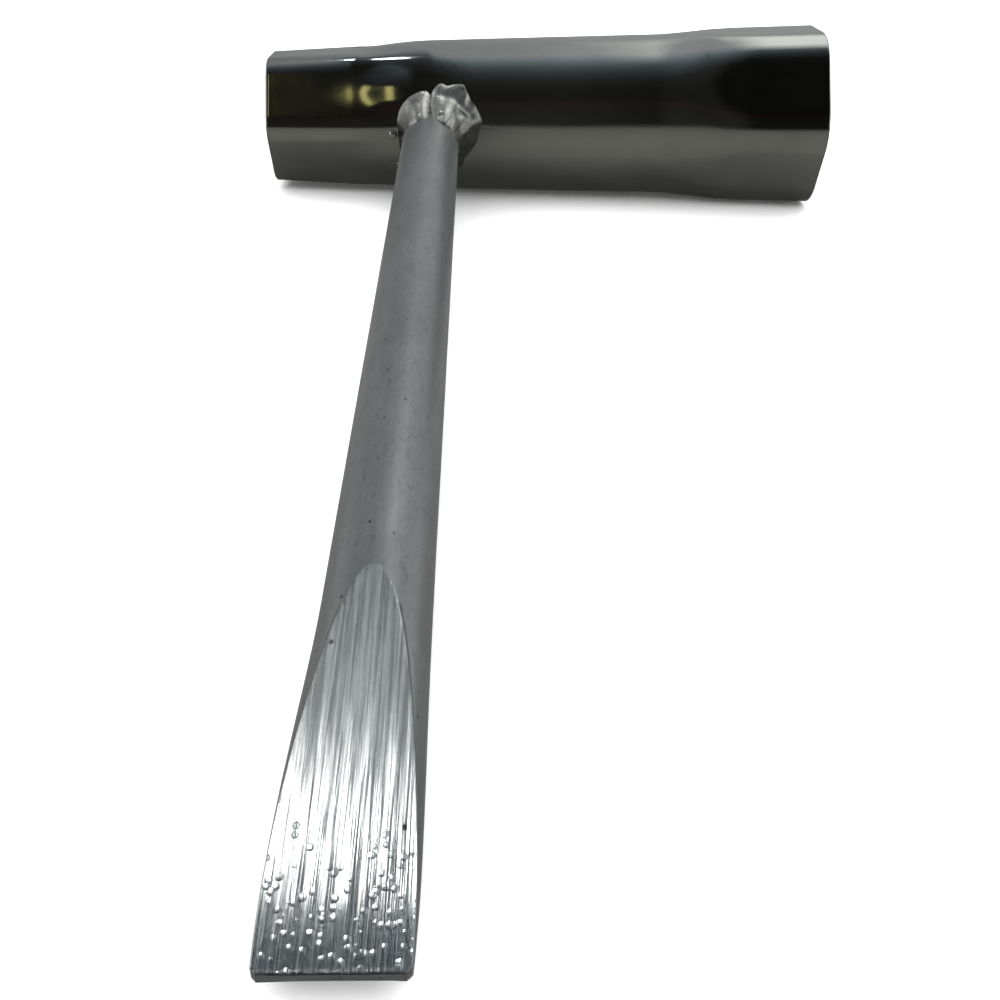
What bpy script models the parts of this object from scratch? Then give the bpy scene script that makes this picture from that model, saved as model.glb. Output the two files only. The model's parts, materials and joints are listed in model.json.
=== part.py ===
"""T-wrench: a tube with a formed hexagon socket at each end, and a screwdriver shank welded to it.

Units are metres. The pieces are modelled square to the tool: the tube runs along X with its small
socket at -X, the shank leaves it along -Y, and the blade's ground faces look up and down. The tool
is then leaned so that it lies on a table at Z = 0, on its blade tip and the two halves of its tube.
"""

import math

import bmesh
import bpy
import numpy as np
from mathutils import Matrix, Vector

# Tube, measured from the mouth of the small socket
TUBE_LENGTH = 0.0789
TUBE_WALL = 0.0022
BODY_SMALL_DIAMETER = 0.0208
BODY_LARGE_DIAMETER = 0.0225
SMALL_SOCKET_FLATS = 0.0132
SMALL_SOCKET_LENGTH = 0.0126
SMALL_SHOULDER_LENGTH = 0.0069
SMALL_MOUTH_WALL = 0.0021
SMALL_ROOT_WALL = 0.0027
LARGE_SOCKET_FLATS = 0.0192
LARGE_SOCKET_LENGTH = 0.0134
LARGE_SHOULDER_LENGTH = 0.0068
LARGE_MOUTH_WALL = 0.0024
LARGE_ROOT_WALL = 0.00205
SMALL_CORNER_RADIUS = 0.0042
LARGE_CORNER_RADIUS = 0.0065
INNER_CORNER_RADIUS = 0.0006
SHOULDER_BLEND = 0.0006
RIM_CHAMFER = 0.0003
LEAD_IN = 0.0005
SOCKET_CLOCKING = math.radians(5.5)

# Shank and blade
SHANK_FROM_SMALL_MOUTH = 0.0234
SHANK_REACH = 0.1425
SHANK_DIAMETER = 0.0080
BLADE_LENGTH = 0.0290
BLADE_WIDTH = 0.0087
BLADE_WIDEST_FROM_TIP = 0.0070
BLADE_OFF_AXIS = 0.0002
BLADE_TIP_WIDTH = 0.0083
BLADE_TIP_THICKNESS = 0.0008
TIP_CORNER = 0.0004

# Weld between them, in two runs that meet on top of the shank and under it
WELD_RIGHT_LEG = 0.0033
WELD_LEFT_LEG = 0.0023
WELD_LEG_ON_SHANK = 0.0042
WELD_RIPPLE = 0.00018
WELD_RIPPLES = 8
WELD_SWELL = 0.0008
WELD_SWELL_PLACE = 0.86
WELD_SWELL_SPREAD = 0.10
WELD_END_FULLNESS = 0.55
WELD_SEAM_ANGLE = math.radians(88)

# Gap that keeps touching pieces apart
GAP = 0.0003

# Mesh resolution
POINTS_PER_HALF_FLAT = 5
CORNER_CROWDING = 1.7
SHOULDER_STEPS = 7
SHANK_SIDES = 48
BLADE_STEPS = 10
WELD_STEPS = 40
WELD_UNDERSIDE_POINTS = 3
WELD_FACE_POINTS = 6
SMOOTH_ANGLE = math.radians(35)

SIXTH_TURN = math.pi / 3
TWELFTH_TURN = math.pi / 6
QUARTER_TURN = math.pi / 2


def clear_scene():
    for obj in list(bpy.data.objects):
        bpy.data.objects.remove(obj, do_unlink=True)


def new_collection(name):
    collection = bpy.data.collections.new(name)
    bpy.context.scene.collection.children.link(collection)
    return collection


def steel(name, colour, roughness):
    material = bpy.data.materials.new(name)
    material.use_nodes = True
    shader = material.node_tree.nodes["Principled BSDF"]
    shader.inputs["Base Color"].default_value = (*colour, 1.0)
    shader.inputs["Metallic"].default_value = 1.0
    shader.inputs["Roughness"].default_value = roughness
    return material


def add_object(name, bm, collection, material=None):
    """Makes a mesh object of what bm holds, with its round stretches shaded smooth."""
    bmesh.ops.recalc_face_normals(bm, faces=bm.faces)
    mesh = bpy.data.meshes.new(name)
    bm.to_mesh(mesh)
    bm.free()
    mesh.shade_smooth()
    mesh.set_sharp_from_angle(angle=SMOOTH_ANGLE)
    if material:
        mesh.materials.append(material)
    obj = bpy.data.objects.new(name, mesh)
    collection.objects.link(obj)
    return obj


def loft(rings, joined_up):
    """Quads from ring to ring. The last ring meets the first if joined_up, and both are capped if not."""
    bm = bmesh.new()
    rows = [[bm.verts.new(point) for point in ring] for ring in rings]
    pairs = list(zip(rows, rows[1:]))
    if joined_up:
        pairs.append((rows[-1], rows[0]))
    else:
        bm.faces.new(rows[0])
        bm.faces.new(rows[-1])
    for here, there in pairs:
        for i in range(len(here)):
            bm.faces.new((here[i - 1], here[i], there[i], there[i - 1]))
    return bm


def line_through(x0, y0, x1, y1):
    return lambda x: y0 + (y1 - y0) * (x - x0) / (x1 - x0)


# Tube: one loft, along the outside from the small mouth to the large one and back through the bore

SMALL_SHOULDER_END = SMALL_SOCKET_LENGTH + SMALL_SHOULDER_LENGTH
LARGE_SOCKET_START = TUBE_LENGTH - LARGE_SOCKET_LENGTH
LARGE_SHOULDER_START = LARGE_SOCKET_START - LARGE_SHOULDER_LENGTH
TUBE_MIDDLE = (SMALL_SHOULDER_END + LARGE_SHOULDER_START) / 2

small_wall = line_through(0.0, SMALL_MOUTH_WALL, SMALL_SOCKET_LENGTH, SMALL_ROOT_WALL)
large_wall = line_through(TUBE_LENGTH, LARGE_MOUTH_WALL, LARGE_SOCKET_START, LARGE_ROOT_WALL)
body_radius = line_through(
    SMALL_SHOULDER_END, BODY_SMALL_DIAMETER / 2, LARGE_SHOULDER_START, BODY_LARGE_DIAMETER / 2
)


def hexagon_radius(angle, apothem, corner):
    """Distance from the axis to a hexagon with rounded corners, one of which lies at angle 0."""
    off_corner = abs((angle + TWELFTH_TURN) % SIXTH_TURN - TWELFTH_TURN)
    arc_centre = (apothem - corner) / math.cos(TWELFTH_TURN)
    arc_end = math.atan2(
        corner * math.sin(TWELFTH_TURN), arc_centre + corner * math.cos(TWELFTH_TURN)
    )
    if off_corner < arc_end:
        sideways = arc_centre * math.sin(off_corner)
        return arc_centre * math.cos(off_corner) + math.sqrt(corner**2 - sideways**2)
    return apothem / math.cos(TWELFTH_TURN - off_corner)


def soft_max(a, b):
    """The larger of two radii, blended where they come within SHOULDER_BLEND of each other."""
    near = max(SHOULDER_BLEND - abs(a - b), 0.0) / SHOULDER_BLEND
    return max(a, b) + near * near * SHOULDER_BLEND / 4


def soft_min(a, b):
    return -soft_max(-a, -b)


def tube_skin(depth, small_wall_left, large_wall_left, small_corner, large_corner):
    """One skin of the tube, as a radius at (x, angle). It lies depth under the outside of the body.

    The small socket is pressed in, so its flats run out under a cone that grows to the body. The
    large socket is spread, so its flats cut into a cone that grows from the body to its corners.
    """

    def small_apothem(x):
        return SMALL_SOCKET_FLATS / 2 + small_wall_left(min(x, SMALL_SOCKET_LENGTH))

    def large_apothem(x):
        return LARGE_SOCKET_FLATS / 2 + large_wall_left(max(x, LARGE_SOCKET_START))

    small_cone = line_through(
        SMALL_SOCKET_LENGTH,
        small_apothem(SMALL_SOCKET_LENGTH),
        SMALL_SHOULDER_END,
        body_radius(SMALL_SHOULDER_END) - depth,
    )
    large_cone = line_through(
        LARGE_SHOULDER_START,
        body_radius(LARGE_SHOULDER_START) - depth,
        LARGE_SOCKET_START,
        hexagon_radius(0.0, large_apothem(LARGE_SOCKET_START), large_corner),
    )

    def radius(x, angle):
        body = body_radius(x) - depth
        if x < TUBE_MIDDLE:
            hexagon = hexagon_radius(angle, small_apothem(x), small_corner)
            return soft_max(hexagon, soft_min(small_cone(x), body))
        hexagon = hexagon_radius(angle, large_apothem(x), large_corner)
        return soft_min(hexagon, soft_max(large_cone(x), body))

    return radius


def no_wall(x):
    return 0.0


outer_radius = tube_skin(0.0, small_wall, large_wall, SMALL_CORNER_RADIUS, LARGE_CORNER_RADIUS)
bore_radius = tube_skin(TUBE_WALL, no_wall, no_wall, INNER_CORNER_RADIUS, INNER_CORNER_RADIUS)


def section_angles():
    """Angles round the tube, closest together at the hexagon's corners."""
    shares = [i / POINTS_PER_HALF_FLAT for i in range(POINTS_PER_HALF_FLAT)]
    rising = [TWELFTH_TURN * share**CORNER_CROWDING for share in shares]
    falling = [SIXTH_TURN - angle for angle in [TWELFTH_TURN, *rising[:0:-1]]]
    return [side * SIXTH_TURN + angle for side in range(6) for angle in rising + falling]


def tube_stations(edge):
    """Places along the tube between its rims, whose broken edges are this long."""
    small = np.linspace(
        SMALL_SOCKET_LENGTH - SHOULDER_BLEND, SMALL_SHOULDER_END + SHOULDER_BLEND, SHOULDER_STEPS
    )
    large = np.linspace(
        LARGE_SHOULDER_START - SHOULDER_BLEND, LARGE_SOCKET_START + SHOULDER_BLEND, SHOULDER_STEPS
    )
    return [edge, *small, TUBE_MIDDLE, *large, TUBE_LENGTH - edge]


def make_tube(collection, material):
    angles = section_angles()

    def ring(radius, x, grow=0.0):
        points = []
        for angle in angles:
            distance = radius(x, angle) + grow
            turned = angle + SOCKET_CLOCKING
            points.append((x, -distance * math.cos(turned), distance * math.sin(turned)))
        return points

    def rings(radius, edge, grow_at_rim):
        between = [ring(radius, x) for x in tube_stations(edge)]
        return [ring(radius, 0.0, grow_at_rim), *between, ring(radius, TUBE_LENGTH, grow_at_rim)]

    outside = rings(outer_radius, RIM_CHAMFER, -RIM_CHAMFER)
    bore = rings(bore_radius, LEAD_IN, LEAD_IN)
    bm = loft(outside + bore[::-1], joined_up=True)
    tube = add_object("socket_tube", bm, collection, material)
    tube.location.x = -SHANK_FROM_SMALL_MOUTH
    return tube


# Shank: a round bar, spread a little at its end and ground to a wedge from above and below

SHANK_RADIUS = SHANK_DIAMETER / 2
SHANK_START = -(outer_radius(SHANK_FROM_SMALL_MOUTH, 0.0) + GAP)
BLADE_START = BLADE_LENGTH - SHANK_REACH
GRIND_ANGLE = math.atan2(SHANK_RADIUS - BLADE_TIP_THICKNESS / 2, BLADE_LENGTH)


def blade_spread(y):
    """How far the bar is forged into the blade at this place: 0 at its round part, 1 where it is widest."""
    share = (BLADE_START - y) / (BLADE_LENGTH - BLADE_WIDEST_FROM_TIP)
    return math.sin(min(max(share, 0.0), 1.0) * QUARTER_TURN) ** 2


def blade_half_width(y):
    """Half the bar's width: its radius up to the blade, then spread, narrower again towards the tip."""
    from_widest = max(1 - (y + SHANK_REACH) / BLADE_WIDEST_FROM_TIP, 0.0)
    narrowing = (BLADE_WIDTH - BLADE_TIP_WIDTH) / 2 * from_widest**2
    cut_corner = max(TIP_CORNER - (y + SHANK_REACH), 0.0)
    return SHANK_RADIUS + (BLADE_WIDTH / 2 - SHANK_RADIUS) * blade_spread(y) - narrowing - cut_corner


def make_grinder(name, side, cutters):
    """A block whose inner face is the plane of one ground face: side is 1 above and -1 below."""
    bm = bmesh.new()
    bmesh.ops.create_cube(bm, size=1.0)
    bmesh.ops.scale(bm, vec=(2 * BLADE_WIDTH, 2 * BLADE_LENGTH, SHANK_DIAMETER), verts=bm.verts)
    bmesh.ops.translate(bm, vec=(0.0, 0.0, side * SHANK_RADIUS), verts=bm.verts)
    grinder = add_object(name, bm, cutters)
    grinder.rotation_euler.x = side * GRIND_ANGLE
    grinder.location = (0.0, -SHANK_REACH, side * BLADE_TIP_THICKNESS / 2)
    grinder.display_type = "WIRE"
    grinder.hide_render = True
    return grinder


def make_shank(collection, cutters, material):
    length = SHANK_REACH + SHANK_START
    along_y = Matrix.Rotation(QUARTER_TURN, 4, "X")
    bm = bmesh.new()
    bmesh.ops.create_cone(
        bm,
        cap_ends=True,
        segments=SHANK_SIDES,
        radius1=SHANK_RADIUS,
        radius2=SHANK_RADIUS,
        depth=length,
        matrix=Matrix.Translation((0.0, SHANK_START - length / 2, 0.0)) @ along_y,
    )
    steps = np.linspace(BLADE_START, -SHANK_REACH, BLADE_STEPS)[:-1]
    for y in (*steps, TIP_CORNER - SHANK_REACH):
        everything = bm.verts[:] + bm.edges[:] + bm.faces[:]
        bmesh.ops.bisect_plane(bm, geom=everything, plane_co=(0.0, y, 0.0), plane_no=(0.0, 1.0, 0.0))
    for vert in bm.verts:
        vert.co.x *= blade_half_width(vert.co.y) / SHANK_RADIUS
        vert.co.x -= BLADE_OFF_AXIS * blade_spread(vert.co.y)
    shank = add_object("screwdriver_shank", bm, collection, material)
    for name, side in (("upper_grind", 1), ("lower_grind", -1)):
        cut = shank.modifiers.new(name, "BOOLEAN")
        cut.operation = "DIFFERENCE"
        cut.object = make_grinder(name, side, cutters)
    return shank


# Weld: a convex fillet round the foot of the shank

def beside_shank(angle, distance, height):
    """A point off the tube: distance along its surface from the shank's side, then height off it."""
    foot = SHANK_RADIUS + GAP
    x = (foot + distance) * math.cos(angle)
    body = -SHANK_START
    turn = math.asin(foot * math.sin(angle) / body) + distance * math.sin(angle) / body
    surface = outer_radius(SHANK_FROM_SMALL_MOUTH + x, turn - SOCKET_CLOCKING) + GAP
    return (x, -surface * math.cos(turn) - height, surface * math.sin(turn))


def weld_section(angle, leg_on_tube, leg_on_shank):
    """The bead's outline at this angle round the shank: out along the tube, back over its face."""
    under = [i / WELD_UNDERSIDE_POINTS for i in range(WELD_UNDERSIDE_POINTS)]
    over = [i / WELD_FACE_POINTS * QUARTER_TURN for i in range(WELD_FACE_POINTS + 1)]
    return [beside_shank(angle, leg_on_tube * share, 0.0) for share in under] + [
        beside_shank(angle, leg_on_tube * math.cos(turn), leg_on_shank * math.sin(turn)) for turn in over
    ]


def weld_run(name, start, end, leg, collection, material):
    """One run from angle to angle: round-nosed, rippled, and swollen near its end."""
    sections = []
    for i in range(WELD_STEPS + 1):
        share = i / WELD_STEPS
        from_end = min(min(share, 1 - share) * WELD_RIPPLES, 1.0)
        nose = math.sqrt(1 - (1 - from_end) ** 2)
        fullness = WELD_END_FULLNESS + (1 - WELD_END_FULLNESS) * nose
        ripple = WELD_RIPPLE * abs(math.sin(share * math.pi * WELD_RIPPLES))
        swell = WELD_SWELL * math.exp(-(((share - WELD_SWELL_PLACE) / WELD_SWELL_SPREAD) ** 2))
        sections.append(
            weld_section(
                start + (end - start) * share,
                (leg + ripple) * fullness,
                (WELD_LEG_ON_SHANK + ripple + swell) * fullness,
            )
        )
    bm = loft(sections, joined_up=False)
    return add_object(name, bm, collection, material)


def make_weld(collection, material):
    half_gap = GAP / 2 / SHANK_RADIUS
    top = WELD_SEAM_ANGLE
    bottom = WELD_SEAM_ANGLE + math.pi
    return [
        weld_run("weld_left", bottom - half_gap, top + half_gap, WELD_LEFT_LEG, collection, material),
        weld_run(
            "weld_right",
            bottom - 2 * math.pi + half_gap,
            top - half_gap,
            WELD_RIGHT_LEG,
            collection,
            material,
        ),
    ]


# Lying on the table: on the face of the tool's convex hull that lies under its centre of mass

def weigh(pieces):
    """All points of the pieces and their common centre of mass, in the tool's frame."""
    graph = bpy.context.evaluated_depsgraph_get()
    points = []
    volume, moment = 0.0, np.zeros(3)
    for piece in pieces:
        mesh = piece.evaluated_get(graph).to_mesh()
        mesh.calc_loop_triangles()
        placed = np.array([piece.matrix_world @ vert.co for vert in mesh.vertices])
        corners = placed[np.array([triangle.vertices for triangle in mesh.loop_triangles])]
        wedges = np.linalg.det(corners) / 6
        volume += wedges.sum()
        moment += wedges @ corners.sum(axis=1) / 4
        points.append(placed)
    return np.concatenate(points), Vector(moment / volume)


def table_normal(points, centre):
    """Upward normal, in the tool's frame, of the table that the tool rests on."""
    hull = bmesh.new()
    for point in points:
        hull.verts.new(point)
    bmesh.ops.convex_hull(hull, input=hull.verts)
    hull.normal_update()

    def height_under_centre(face):
        return (face.verts[0].co - centre).dot(face.normal) / face.normal.z

    undersides = [face for face in hull.faces if face.normal.z < 0]
    up = -max(undersides, key=height_under_centre).normal
    hull.free()
    return up


def lay_on_table(tool, pieces):
    """Leans the tool so that it rests on Z = 0, its shank over -Y, centred on the origin."""
    bpy.context.view_layer.update()
    points, centre = weigh(pieces)
    up = table_normal(points, centre)
    back = (Vector((0.0, 1.0, 0.0)) - up * up.y).normalized()
    lean = Matrix((back.cross(up), back, up))
    lying = points @ np.array(lean).T
    low, high = lying.min(axis=0), lying.max(axis=0)
    middle = (low + high) / 2
    tool.matrix_world = Matrix.Translation((-middle[0], -middle[1], -low[2])) @ lean.to_4x4()


def main():
    clear_scene()
    parts = new_collection("t_wrench")
    cutters = new_collection("cutters")
    plated_tube = steel("plated_tube_steel", (0.42, 0.43, 0.43), 0.22)
    plated_bar = steel("plated_bar_steel", (0.40, 0.42, 0.43), 0.38)
    bead = steel("weld_steel", (0.36, 0.37, 0.38), 0.32)

    pieces = [
        make_tube(parts, plated_tube),
        make_shank(parts, cutters, plated_bar),
        *make_weld(parts, bead),
    ]
    tool = bpy.data.objects.new("tool", None)
    parts.objects.link(tool)
    lay_on_table(tool, pieces)
    for obj in [*pieces, *cutters.objects]:
        obj.parent = tool


main()
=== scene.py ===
"""Looks of the T-wrench: bright plated tube, satin shank with a ground blade, and a lumpy weld.

The pieces are made in the tool's own frame: X runs along the tube to its large socket, -Y along the
shank to the blade tip, and Z up from the blade's ground face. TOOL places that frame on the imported
model. Lengths are metres.
"""

import json
import math

import bmesh
import bpy
import numpy as np
from mathutils import Matrix, Vector, noise


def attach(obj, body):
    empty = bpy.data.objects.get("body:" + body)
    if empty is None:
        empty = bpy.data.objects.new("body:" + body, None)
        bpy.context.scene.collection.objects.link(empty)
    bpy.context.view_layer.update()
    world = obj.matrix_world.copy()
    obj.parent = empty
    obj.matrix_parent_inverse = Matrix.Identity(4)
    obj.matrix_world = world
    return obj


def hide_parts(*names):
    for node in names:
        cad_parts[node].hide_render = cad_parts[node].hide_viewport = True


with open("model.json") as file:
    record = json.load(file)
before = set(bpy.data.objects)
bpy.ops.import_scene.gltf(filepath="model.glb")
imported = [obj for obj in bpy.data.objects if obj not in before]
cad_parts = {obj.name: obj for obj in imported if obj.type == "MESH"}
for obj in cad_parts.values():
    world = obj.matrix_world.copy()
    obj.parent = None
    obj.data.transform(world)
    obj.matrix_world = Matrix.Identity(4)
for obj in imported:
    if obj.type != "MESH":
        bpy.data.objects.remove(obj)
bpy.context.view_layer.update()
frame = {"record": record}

MM = 0.001

# Tube, measured from the mouth of the small socket
TUBE_LENGTH = 0.0789
TUBE_WALL = 0.0022
BODY_SMALL_DIAMETER = 0.0208
BODY_LARGE_DIAMETER = 0.0225
SMALL_SOCKET_FLATS = 0.0132
SMALL_SOCKET_LENGTH = 0.0126
SMALL_SHOULDER_LENGTH = 0.0069
SMALL_MOUTH_WALL = 0.0021
SMALL_ROOT_WALL = 0.0027
LARGE_SOCKET_FLATS = 0.0192
LARGE_SOCKET_LENGTH = 0.0134
LARGE_SHOULDER_LENGTH = 0.0068
LARGE_MOUTH_WALL = 0.0024
LARGE_ROOT_WALL = 0.00205
SMALL_CORNER_RADIUS = 0.0042
LARGE_CORNER_RADIUS = 0.0065
INNER_CORNER_RADIUS = 0.0006
SHOULDER_BLEND = 0.0006
RIM_ROUND = 0.0003
LEAD_IN = 0.0005
SOCKET_CLOCKING = math.radians(5.5)

# Shank and blade
SHANK_FROM_SMALL_MOUTH = 0.0234
SHANK_REACH = 0.1425
SHANK_RADIUS = 0.0040
BLADE_LENGTH = 0.0290
BLADE_WIDTH = 0.0087
BLADE_WIDEST_FROM_TIP = 0.0070
BLADE_OFF_AXIS = 0.0002
BLADE_TIP_WIDTH = 0.0083
BLADE_TIP_THICKNESS = 0.0008
TIP_CORNER = 0.0004
TIP_ROUND = 0.00006
EDGE_SOFTNESS = 0.00010
SHANK_ROOT_IN_TUBE = 0.0008

# Weld
WELD_RIGHT_LEG = 0.0034
WELD_LEFT_LEG = 0.0024
WELD_LEG_ON_SHANK = 0.0050
WELD_SEAM_ANGLE = math.radians(88)
WELD_OVERLAP = math.radians(4)
WELD_NOSE = math.radians(22)

# How far the skin stays under the CAD's outline, so that no facet stands proud of its box
INSET = 0.0001

SIXTH_TURN = math.pi / 3
TWELFTH_TURN = math.pi / 6
QUARTER_TURN = math.pi / 2


def mount(name):
    return next(m for m in frame["record"]["mounts"] if m["name"] == name)


def tool_frame():
    """Places the tool's own frame: X and -Y are the axes of the large rim and of the blade tip."""
    along_tube = Vector(mount("socket_19_rim")["axis"]).normalized()
    to_tip = Vector(mount("blade_tip")["axis"]).normalized()
    tip = Vector(mount("blade_tip")["pos_m"])
    crossing = tip - to_tip * SHANK_REACH + along_tube * BLADE_OFF_AXIS
    turn = Matrix((along_tube, -to_tip, along_tube.cross(-to_tip))).transposed()
    return Matrix.Translation(crossing) @ turn.to_4x4()


TOOL = tool_frame()


# Mesh helpers

def grains(places, size):
    """Smooth noise from -1 to 1 at each place, with grains of this size along X, Y and Z."""
    scaled = np.asarray(places).reshape(-1, 3) / np.asarray(size)
    values = [noise.noise(Vector(p)) for p in scaled.tolist()]
    return np.array(values).reshape(np.shape(places)[:-1])


def grid_faces(rows, columns, joined_up):
    """Corner numbers of the quads between rings, each ring closed on itself."""
    here = np.arange(rows * columns).reshape(rows, columns)
    there = np.roll(here, -1, axis=0)
    if not joined_up:
        here, there = here[:-1], there[:-1]
    quads = [here, np.roll(here, -1, axis=1), np.roll(there, -1, axis=1), there]
    return np.stack(quads, axis=-1).reshape(-1, 4)


def add_piece(name, points, joined_up, materials, replaces):
    """Makes a closed piece of rings of points, given in the tool's frame, and rides it."""
    rows, columns = points.shape[:2]
    faces = grid_faces(rows, columns, joined_up).tolist()
    if not joined_up:
        faces.append(list(range(columns)))
        faces.append([(rows - 1) * columns + i for i in range(columns)])
    mesh = bpy.data.meshes.new(name)
    mesh.from_pydata(points.reshape(-1, 3).tolist(), [], faces)
    bm = bmesh.new()
    bm.from_mesh(mesh)
    bmesh.ops.recalc_face_normals(bm, faces=bm.faces)
    for face in bm.faces:
        face.smooth = len(face.verts) == 4
    bm.to_mesh(mesh)
    bm.free()
    for material in materials:
        mesh.materials.append(material)
    return place_piece(name, mesh, replaces)


def place_piece(name, mesh, replaces=()):
    """Puts a mesh from the tool's frame on the part, in place of the CAD nodes it replaces."""
    mesh.transform(TOOL)
    piece = bpy.data.objects.new(name, mesh)
    bpy.context.scene.collection.objects.link(piece)
    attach(piece, "root")
    if replaces:
        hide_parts(*replaces)
    return piece


def line_through(x0, y0, x1, y1):
    """The straight line through two points, as a function of x."""
    return lambda x: y0 + (y1 - y0) * (x - x0) / (x1 - x0)


def soft_max(a, b, blend):
    """The larger of two values, rounded off where they differ by less than the blend."""
    near = np.maximum(blend - np.abs(a - b), 0.0) / blend
    return np.maximum(a, b) + near * near * blend / 4


def soft_min(a, b, blend):
    return -soft_max(-a, -b, blend)


# Tube

SMALL_SHOULDER_END = SMALL_SOCKET_LENGTH + SMALL_SHOULDER_LENGTH
LARGE_SOCKET_START = TUBE_LENGTH - LARGE_SOCKET_LENGTH
LARGE_SHOULDER_START = LARGE_SOCKET_START - LARGE_SHOULDER_LENGTH
TUBE_MIDDLE = (SMALL_SHOULDER_END + LARGE_SHOULDER_START) / 2
TUBE_SIDES = 288
OUTSIDE_STATIONS = 190
BORE_STATIONS = 110
RIM_STEPS = 4
FORMING_WAVES = (0.009, 0.005, 0.005)
FORMING_DEPTH = 0.000022

body_radius = line_through(
    SMALL_SHOULDER_END, BODY_SMALL_DIAMETER / 2, LARGE_SHOULDER_START, BODY_LARGE_DIAMETER / 2
)


def hexagon_radius(angle, apothem, corner):
    """Distance from the axis to a hexagon with rounded corners, one of which lies at angle 0."""
    off_corner = np.abs((angle + TWELFTH_TURN) % SIXTH_TURN - TWELFTH_TURN)
    arc_centre = (apothem - corner) / math.cos(TWELFTH_TURN)
    arc_end = np.arctan2(
        corner * math.sin(TWELFTH_TURN), arc_centre + corner * math.cos(TWELFTH_TURN)
    )
    sideways = arc_centre * np.sin(off_corner)
    arc = arc_centre * np.cos(off_corner) + np.sqrt(np.maximum(corner**2 - sideways**2, 0.0))
    return np.where(off_corner < arc_end, arc, apothem / np.cos(TWELFTH_TURN - off_corner))


def tube_skin(depth, small_walls, large_walls, small_corner, large_corner):
    """One skin of the tube, depth under the outside of its body, as a radius at (x, angle)."""
    small_wall = line_through(0.0, small_walls[0], SMALL_SOCKET_LENGTH, small_walls[1])
    large_wall = line_through(TUBE_LENGTH, large_walls[0], LARGE_SOCKET_START, large_walls[1])
    small_cone = line_through(
        SMALL_SOCKET_LENGTH,
        SMALL_SOCKET_FLATS / 2 + small_walls[1],
        SMALL_SHOULDER_END,
        body_radius(SMALL_SHOULDER_END) - depth,
    )
    large_cone = line_through(
        LARGE_SHOULDER_START,
        body_radius(LARGE_SHOULDER_START) - depth,
        LARGE_SOCKET_START,
        hexagon_radius(0.0, LARGE_SOCKET_FLATS / 2 + large_walls[1], large_corner),
    )

    def radius(x, angle):
        body = body_radius(x) - depth
        small = SMALL_SOCKET_FLATS / 2 + small_wall(np.minimum(x, SMALL_SOCKET_LENGTH))
        large = LARGE_SOCKET_FLATS / 2 + large_wall(np.maximum(x, LARGE_SOCKET_START))
        pressed_in = soft_max(
            hexagon_radius(angle, small, small_corner),
            soft_min(small_cone(x), body, SHOULDER_BLEND),
            SHOULDER_BLEND,
        )
        spread = soft_min(
            hexagon_radius(angle, large, large_corner),
            soft_max(large_cone(x), body, SHOULDER_BLEND),
            SHOULDER_BLEND,
        )
        return np.where(x < TUBE_MIDDLE, pressed_in, spread)

    return radius


outer_radius = tube_skin(
    0.0,
    (SMALL_MOUTH_WALL, SMALL_ROOT_WALL),
    (LARGE_MOUTH_WALL, LARGE_ROOT_WALL),
    SMALL_CORNER_RADIUS,
    LARGE_CORNER_RADIUS,
)
bore_radius = tube_skin(TUBE_WALL, (0.0, 0.0), (0.0, 0.0), INNER_CORNER_RADIUS, INNER_CORNER_RADIUS)


def round_the_tube(x, distance, angle):
    """Points at these distances from the tube's axis and angles from a corner of its hexagons."""
    turned = angle + SOCKET_CLOCKING
    x, distance, turned = np.broadcast_arrays(x, distance, turned)
    along = x - SHANK_FROM_SMALL_MOUTH
    return np.stack([along, -distance * np.cos(turned), distance * np.sin(turned)], axis=-1)


def rim_rings(radius, at_mouth, inwards, size, side, angles):
    """Rings that turn a skin's edge round to the rim. side is -1 outside and 1 in the bore."""
    turns = np.linspace(0.0, QUARTER_TURN, RIM_STEPS + 1)[:, None]
    x = at_mouth + inwards * (INSET + size * (1 - np.cos(turns)))
    drop = size * (1 - np.sin(turns))
    return round_the_tube(x, radius(x, angles) + side * (drop + INSET), angles)


def make_tube(material):
    """One closed skin: small rim, outside, large rim and back through the bore, which is marked."""
    angles = np.linspace(0.0, 2 * math.pi, TUBE_SIDES, endpoint=False)[None, :]
    outside_x = np.linspace(RIM_ROUND, TUBE_LENGTH - RIM_ROUND, OUTSIDE_STATIONS)[1:-1, None]
    bore_x = np.linspace(TUBE_LENGTH - LEAD_IN, LEAD_IN, BORE_STATIONS)[1:-1, None]
    distance = outer_radius(outside_x, angles) - INSET
    flawless = round_the_tube(outside_x, distance, angles)
    waves = FORMING_DEPTH * (grains(flawless, FORMING_WAVES) - 1) / 2
    rings = [
        rim_rings(outer_radius, 0.0, 1, RIM_ROUND, -1, angles),
        round_the_tube(outside_x, distance + waves, angles),
        rim_rings(outer_radius, TUBE_LENGTH, -1, RIM_ROUND, -1, angles)[::-1],
        rim_rings(bore_radius, TUBE_LENGTH, -1, LEAD_IN, 1, angles),
        round_the_tube(bore_x, bore_radius(bore_x, angles) + INSET, angles),
        rim_rings(bore_radius, 0.0, 1, LEAD_IN, 1, angles)[::-1],
    ]
    tube = add_piece(
        "plated_tube", np.concatenate(rings), True, [material], ["socket_tube"]
    )
    in_bore = np.zeros(sum(len(r) for r in rings))
    in_bore[sum(len(r) for r in rings[:3]) + RIM_STEPS:] = 1.0
    mark = tube.data.attributes.new("bore", "FLOAT", "POINT")
    mark.data.foreach_set("value", np.repeat(in_bore, TUBE_SIDES).astype(np.float32))


# Shank

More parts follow.
